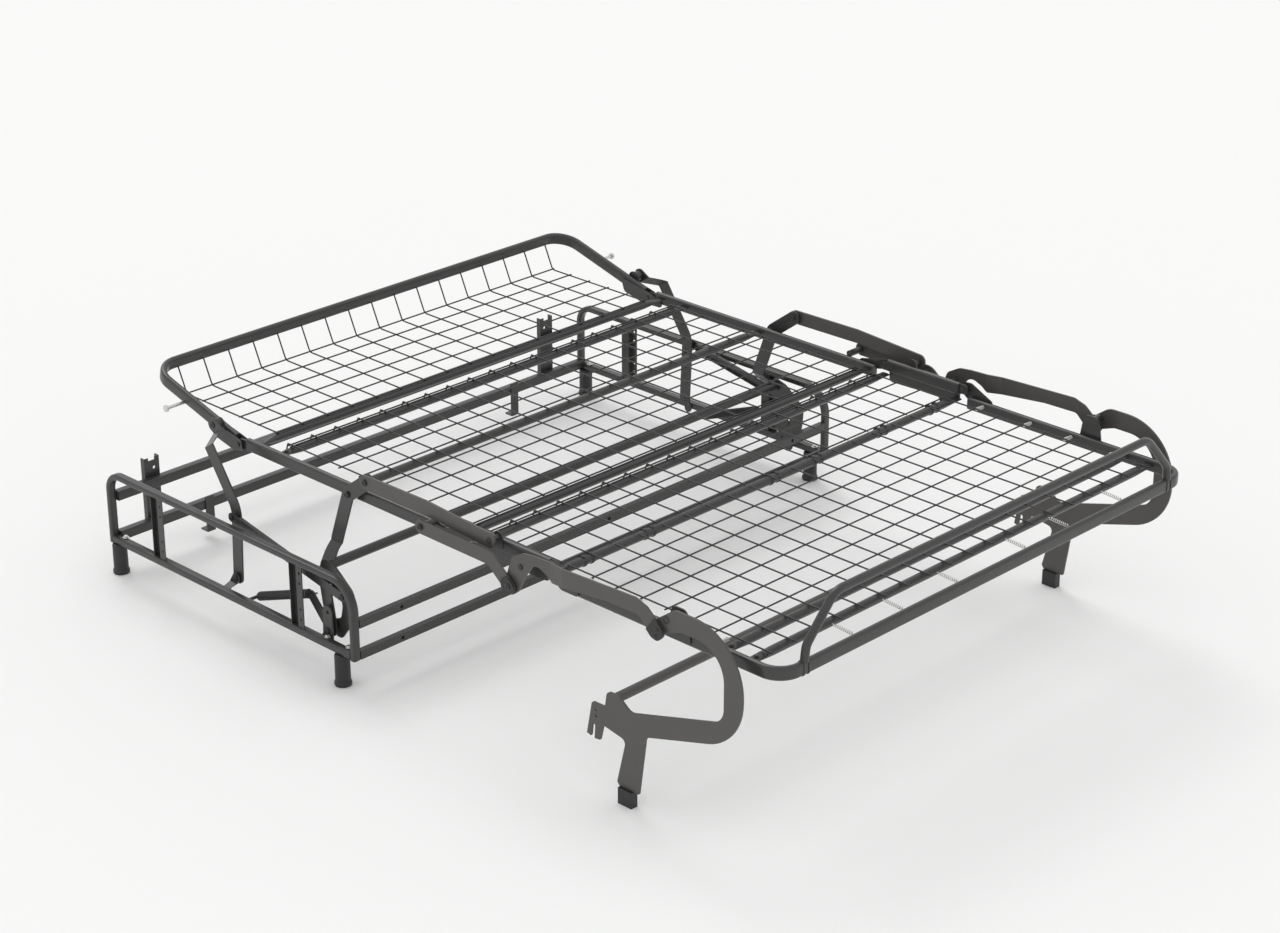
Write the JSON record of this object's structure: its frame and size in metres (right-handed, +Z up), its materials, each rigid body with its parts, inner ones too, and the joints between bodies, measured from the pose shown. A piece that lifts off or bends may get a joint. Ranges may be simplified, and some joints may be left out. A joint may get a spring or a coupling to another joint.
{
  "type": "sofa bed mechanism",
  "caption": "Folding sofa bed mechanism opened flat: tube frame with welded wire mesh on side linkages over a low base, with curved front legs and a tilted head section.",
  "frame": {"origin": "on the floor under the middle of the open bed, midway between its two ends and its two sides", "axes": "+X across the width, +Y towards the head of the bed (the sofa's back), +Z up"},
  "size_m": [1.5794, 2.0226, 0.5479],
  "materials": {
    "frame_coating": "satin anthracite powder coat",
    "leg_coating": "satin graphite powder coat",
    "mesh_wire": "satin black coat",
    "black_plastic": "fine matt",
    "zinc": "bright zinc plate",
    "black_spring": "oiled black"
  },
  "bodies": {
    "base": {"side_hoops": "frame_coating", "bottom_rails": "frame_coating", "perforated_uprights": "frame_coating", "rear_cross_rails": "frame_coating", "front_cross_rails": "frame_coating", "back_brackets": "frame_coating", "floor_brackets": "frame_coating", "feet": "black_plastic", "rear_pivot_brackets": "frame_coating", "front_pivot_brackets": "frame_coating", "spring_anchors": "frame_coating"},
    "bell_cranks": {"front_links": "frame_coating", "curved_plates": "frame_coating", "spring_levers": "frame_coating", "torsion_tube": "frame_coating"},
    "springs": {"tension_springs": "black_spring"},
    "rear_links": {"rear_links": "frame_coating"},
    "braces": {"braces": "frame_coating"},
    "seat": {"seat_side_rails": "frame_coating", "seat_cross_tubes": "frame_coating", "seat_mesh": "mesh_wire"},
    "head": {"head_tube": "frame_coating", "head_hinge_plates": "frame_coating", "head_cross_tube": "frame_coating", "head_basket": "mesh_wire", "head_studs": "zinc"},
    "upper_straps": {"upper_straps": "leg_coating"},
    "lower_straps": {"lower_straps": "leg_coating", "strap_end_caps": "black_plastic"},
    "knee": {"knee_sides": "frame_coating", "knee_cross_tubes": "frame_coating", "knee_mesh": "mesh_wire"},
    "foot_section": {"foot_tube": "frame_coating", "foot_hinge_plates": "frame_coating", "leg_brackets": "frame_coating", "foot_cross_tubes": "frame_coating", "foot_mesh": "mesh_wire", "edge_springs": "zinc", "retainer_hoop": "frame_coating"},
    "arms": {"long_arms": "leg_coating", "arm_end_caps": "black_plastic"},
    "legs": {"curved_legs": "leg_coating", "leg_crossbar": "leg_coating", "leg_pads": "black_plastic"}
  },
  "joints": [
    {"name": "front_link_fold", "type": "hinge", "parent": "base", "child": "bell_cranks", "pos_m": [0, 0.23325, 0.104], "axis": [-1, 0, 0], "range_deg": [0, 80]},
    {"name": "seat_fold", "type": "hinge", "parent": "bell_cranks", "child": "seat", "pos_m": [0, 0.22925, 0.409], "axis": [-1, 0, 0], "range_deg": [-74.8, 0]},
    {"name": "head_fold", "type": "hinge", "parent": "seat", "child": "head", "pos_m": [0, 0.62675, 0.4017], "axis": [-1, 0, 0], "range_deg": [-82.4, 0]},
    {"name": "rear_link_fold", "type": "hinge", "parent": "base", "child": "rear_links", "pos_m": [0, 0.57125, 0.113], "axis": [-1, 0, 0], "range_deg": [0, 57.5]},
    {"name": "brace_fold", "type": "hinge", "parent": "rear_links", "child": "braces", "pos_m": [0, 0.56465, 0.2666], "axis": [-1, 0, 0], "range_deg": [-52.7, 0]},
    {"name": "spring_swing", "type": "hinge", "parent": "base", "child": "springs", "pos_m": [0, 0.50425, 0.086], "axis": [-1, 0, 0], "range_deg": [-28.9, 0]},
    {"name": "upper_strap_fold", "type": "hinge", "parent": "bell_cranks", "child": "upper_straps", "pos_m": [0, 0.15955, 0.4613], "axis": [-1, 0, 0], "range_deg": [-71.05, 0]},
    {"name": "knee_fold", "type": "hinge", "parent": "seat", "child": "knee", "pos_m": [0, -0.15075, 0.4295], "axis": [-1, 0, 0], "range_deg": [0, 91]},
    {"name": "lower_strap_fold", "type": "hinge", "parent": "seat", "child": "lower_straps", "pos_m": [0, -0.03575, 0.4264], "axis": [-1, 0, 0], "range_deg": [0, 65.1]},
    {"name": "foot_fold", "type": "hinge", "parent": "knee", "child": "foot_section", "pos_m": [0, -0.38975, 0.437], "axis": [-1, 0, 0], "range_deg": [0, 80.4]},
    {"name": "arm_fold", "type": "hinge", "parent": "knee", "child": "arms", "pos_m": [0, -0.33275, 0.4305], "axis": [-1, 0, 0], "range_deg": [0, 69.4]},
    {"name": "leg_fold", "type": "hinge", "parent": "foot_section", "child": "legs", "pos_m": [0, -0.74475, 0.457], "axis": [-1, 0, 0], "range_deg": [0, 38.4]}
  ],
  "couplings": [
    {"joint": "seat_fold", "follows": "front_link_fold", "ratio": -0.93375},
    {"joint": "head_fold", "follows": "front_link_fold", "ratio": -1.0288},
    {"joint": "rear_link_fold", "follows": "front_link_fold", "ratio": 0.7175},
    {"joint": "brace_fold", "follows": "front_link_fold", "ratio": -0.6575},
    {"joint": "spring_swing", "follows": "front_link_fold", "ratio": -0.36},
    {"joint": "upper_strap_fold", "follows": "front_link_fold", "ratio": -0.88687},
    {"joint": "knee_fold", "follows": "front_link_fold", "ratio": 1.1362},
    {"joint": "lower_strap_fold", "follows": "front_link_fold", "ratio": 0.8125},
    {"joint": "foot_fold", "follows": "front_link_fold", "ratio": 1.0037},
    {"joint": "arm_fold", "follows": "front_link_fold", "ratio": 0.86625},
    {"joint": "leg_fold", "follows": "front_link_fold", "ratio": 0.47875}
  ]
}
